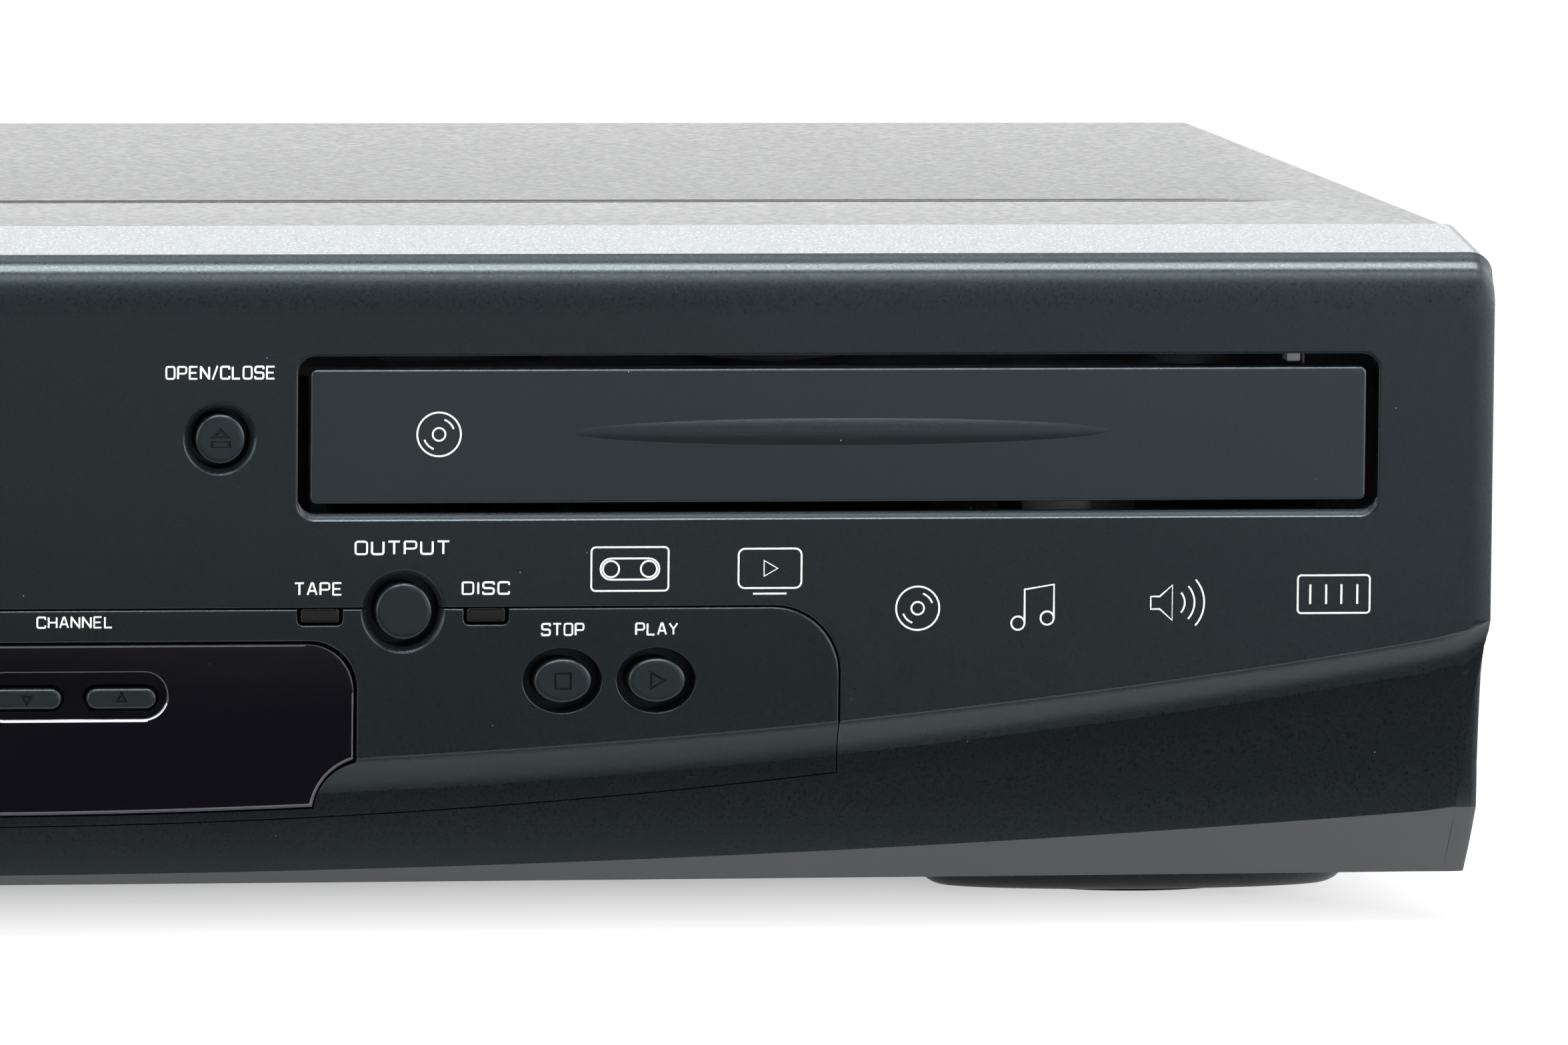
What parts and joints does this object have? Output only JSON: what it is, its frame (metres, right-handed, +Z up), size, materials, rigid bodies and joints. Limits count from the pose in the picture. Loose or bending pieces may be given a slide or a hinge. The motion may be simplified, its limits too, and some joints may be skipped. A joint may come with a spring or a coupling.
{
  "type": "dvd vcr combo player",
  "caption": "Wide low disc and tape player with a sliding disc tray, a swinging cassette flap, a smoked display window, oval buttons and a curved lower front.",
  "frame": {"origin": "middle of the footprint, on the surface that the feet stand on", "axes": "+X to the right seen from the front, +Y to the rear, +Z up; the front faces -Y"},
  "size_m": [0.435, 0.2352, 0.0994],
  "materials": {
    "cover_steel": "satin black paint",
    "screw_steel": "plain",
    "sheet_steel": "zinc plated",
    "bezel_plastic": "fine satin texture",
    "panel_plastic": "fine satin texture",
    "smoked_window": "polished",
    "foot_plastic": "moulded",
    "pad_rubber": "matt",
    "lens_plastic": "smoked",
    "board": "solder mask",
    "power_board": "paper laminate",
    "components": "mixed",
    "white_plastic": "moulded",
    "tube_glass": "tinted",
    "nickel": "plated",
    "black_plastic": "moulded",
    "ribbon": "flat",
    "aluminium": "machined",
    "tray_plastic": "moulded",
    "belt_rubber": "matt",
    "button_plastic": "satin"
  },
  "bodies": {
    "case": {"top_cover": "cover_steel", "cover_screws": "screw_steel", "chassis_base": "sheet_steel", "rear_panel": "sheet_steel", "front_bezel": "bezel_plastic", "control_panel": "panel_plastic", "display_window": "smoked_window", "feet": "foot_plastic", "foot_pads": "pad_rubber", "led_lenses": "lens_plastic", "main_board": "board", "power_board": "power_board", "power_parts": "components", "front_board": "board", "tact_switches": "white_plastic", "vfd_display": "tube_glass", "tuner_module": "sheet_steel", "rf_connectors": "nickel", "rear_av_jacks": "nickel", "ac_inlet": "black_plastic", "front_av_jacks": "nickel", "ribbon_cables": "ribbon", "dvd_frame": "black_plastic", "clamp_bridge": "sheet_steel", "tray_motor": "screw_steel", "drive_belt": "belt_rubber", "vcr_deck": "sheet_steel", "lower_drum": "aluminium", "guide_posts": "nickel", "tape_heads": "nickel", "carriage_rails": "sheet_steel", "loading_motor": "screw_steel"},
    "tray": {"disc_tray": "tray_plastic", "tray_door": "bezel_plastic"},
    "tray_gear": {"tray_gear": "white_plastic"},
    "motor_pulley": {"motor_pulley": "white_plastic"},
    "traverse": {"traverse_deck": "black_plastic"},
    "turntable": {"turntable": "aluminium"},
    "puck": {"clamp_puck": "white_plastic"},
    "sled": {"pickup_sled": "black_plastic"},
    "flap": {"cassette_flap": "bezel_plastic"},
    "lift": {"lift_frame": "sheet_steel"},
    "holder": {"cassette_holder": "sheet_steel"},
    "drum": {"upper_drum": "aluminium"},
    "capstan": {"capstan": "screw_steel"},
    "pinch_arm": {"pinch_arm": "screw_steel"},
    "pinch_roller": {"pinch_roller": "belt_rubber"},
    "supply_reel": {"supply_reel": "white_plastic"},
    "takeup_reel": {"takeup_reel": "white_plastic"},
    "open_close_button": {"open_close_button": "button_plastic"},
    "output_button": {"output_button": "button_plastic"},
    "disc_stop_button": {"disc_stop_button": "button_plastic"},
    "disc_play_button": {"disc_play_button": "button_plastic"},
    "channel_up_button": {"channel_up_button": "button_plastic"},
    "channel_down_button": {"channel_down_button": "button_plastic"},
    "power_button": {"power_button": "button_plastic"},
    "tape_rewind_button": {"tape_rewind_button": "button_plastic"},
    "tape_play_button": {"tape_play_button": "button_plastic"},
    "tape_forward_button": {"tape_forward_button": "button_plastic"},
    "tape_stop_button": {"tape_stop_button": "button_plastic"}
  },
  "joints": [
    {"name": "tray_slide", "type": "slide", "parent": "case", "child": "tray", "axis": [0, -1, 0], "range_m": [0, 0.134]},
    {"name": "tray_gear_spin", "type": "hinge", "parent": "case", "child": "tray_gear", "pos_m": [0.1585, -0.092, 0.0605], "axis": [0, 0, 1], "range_deg": [-769.76, 1]},
    {"name": "motor_spin", "type": "hinge", "parent": "case", "child": "motor_pulley", "pos_m": [0.1245, -0.092, 0.05], "axis": [0, 0, 1], "range_deg": [-2051.37, 2]},
    {"name": "deck_lift", "type": "slide", "parent": "case", "child": "traverse", "axis": [0, 0, 1], "range_m": [0, 0.0076]},
    {"name": "disc_spin", "type": "hinge", "parent": "traverse", "child": "turntable", "pos_m": [0.1235, -0.0409, 0.059], "axis": [0, 0, 1], "continuous": true},
    {"name": "puck_spin", "type": "hinge", "parent": "case", "child": "puck", "pos_m": [0.1235, -0.0409, 0.072], "axis": [0, 0, 1], "continuous": true},
    {"name": "sled_slide", "type": "slide", "parent": "traverse", "child": "sled", "axis": [0, 1, 0], "range_m": [0, 0.034]},
    {"name": "flap_hinge", "type": "hinge", "parent": "case", "child": "flap", "pos_m": [-0.104, -0.1114, 0.0809], "axis": [1, 0, 0], "range_deg": [0, 80], "stiffness_Nm_per_rad": 0.02, "springref_deg": -34.38},
    {"name": "carriage_slide", "type": "slide", "parent": "case", "child": "lift", "axis": [0, 1, 0], "range_m": [-0.027, 0]},
    {"name": "holder_drop", "type": "slide", "parent": "lift", "child": "holder", "axis": [0, 0, -1], "range_m": [0, 0.0165]},
    {"name": "drum_spin", "type": "hinge", "parent": "case", "child": "drum", "pos_m": [-0.104, 0.0606, 0.0345], "axis": [0, 0.0958, 0.9954], "continuous": true},
    {"name": "capstan_spin", "type": "hinge", "parent": "case", "child": "capstan", "pos_m": [-0.052, 0.0341, 0.0255], "axis": [0, 0, 1], "continuous": true},
    {"name": "pinch_swing", "type": "hinge", "parent": "case", "child": "pinch_arm", "pos_m": [-0.0429, 0.0561, 0.0305], "axis": [0, 0, -1], "range_deg": [0, 14], "stiffness_Nm_per_rad": 0.01, "springref_deg": -11.46},
    {"name": "roller_spin", "type": "hinge", "parent": "pinch_arm", "child": "pinch_roller", "pos_m": [-0.03758, 0.03475, 0.0355], "axis": [0, 0, 1], "continuous": true},
    {"name": "supply_spin", "type": "hinge", "parent": "case", "child": "supply_reel", "pos_m": [-0.15, -0.0344, 0.0255], "axis": [0, 0, 1], "continuous": true},
    {"name": "takeup_spin", "type": "hinge", "parent": "case", "child": "takeup_reel", "pos_m": [-0.058, -0.0344, 0.0255], "axis": [0, 0, 1], "continuous": true},
    {"name": "open_close_button_press", "type": "slide", "parent": "case", "child": "open_close_button", "axis": [0, 1, 0], "range_m": [0, 0.0008], "stiffness_N_per_m": 500},
    {"name": "output_button_press", "type": "slide", "parent": "case", "child": "output_button", "axis": [0, 1, 0], "range_m": [0, 0.0008], "stiffness_N_per_m": 500},
    {"name": "disc_stop_button_press", "type": "slide", "parent": "case", "child": "disc_stop_button", "axis": [0, 1, 0], "range_m": [0, 0.0008], "stiffness_N_per_m": 500},
    {"name": "disc_play_button_press", "type": "slide", "parent": "case", "child": "disc_play_button", "axis": [0, 1, 0], "range_m": [0, 0.0008], "stiffness_N_per_m": 500},
    {"name": "channel_up_button_press", "type": "slide", "parent": "case", "child": "channel_up_button", "axis": [0, 1, 0], "range_m": [0, 0.0008], "stiffness_N_per_m": 500},
    {"name": "channel_down_button_press", "type": "slide", "parent": "case", "child": "channel_down_button", "axis": [0, 1, 0], "range_m": [0, 0.0008], "stiffness_N_per_m": 500},
    {"name": "power_button_press", "type": "slide", "parent": "case", "child": "power_button", "axis": [0, 1, 0], "range_m": [0, 0.0008], "stiffness_N_per_m": 500},
    {"name": "tape_rewind_button_press", "type": "slide", "parent": "case", "child": "tape_rewind_button", "axis": [0, 1, 0], "range_m": [0, 0.0008], "stiffness_N_per_m": 500},
    {"name": "tape_play_button_press", "type": "slide", "parent": "case", "child": "tape_play_button", "axis": [0, 1, 0], "range_m": [0, 0.0008], "stiffness_N_per_m": 500},
    {"name": "tape_forward_button_press", "type": "slide", "parent": "case", "child": "tape_forward_button", "axis": [0, 1, 0], "range_m": [0, 0.0008], "stiffness_N_per_m": 500},
    {"name": "tape_stop_button_press", "type": "slide", "parent": "case", "child": "tape_stop_button", "axis": [0, 1, 0], "range_m": [0, 0.0008], "stiffness_N_per_m": 500}
  ],
  "couplings": [
    {"joint": "tray_gear_spin", "follows": "tray_slide", "rad_per_m": -100},
    {"joint": "motor_spin", "follows": "tray_slide", "rad_per_m": -266.67},
    {"joint": "puck_spin", "follows": "disc_spin", "ratio": 1}
  ]
}
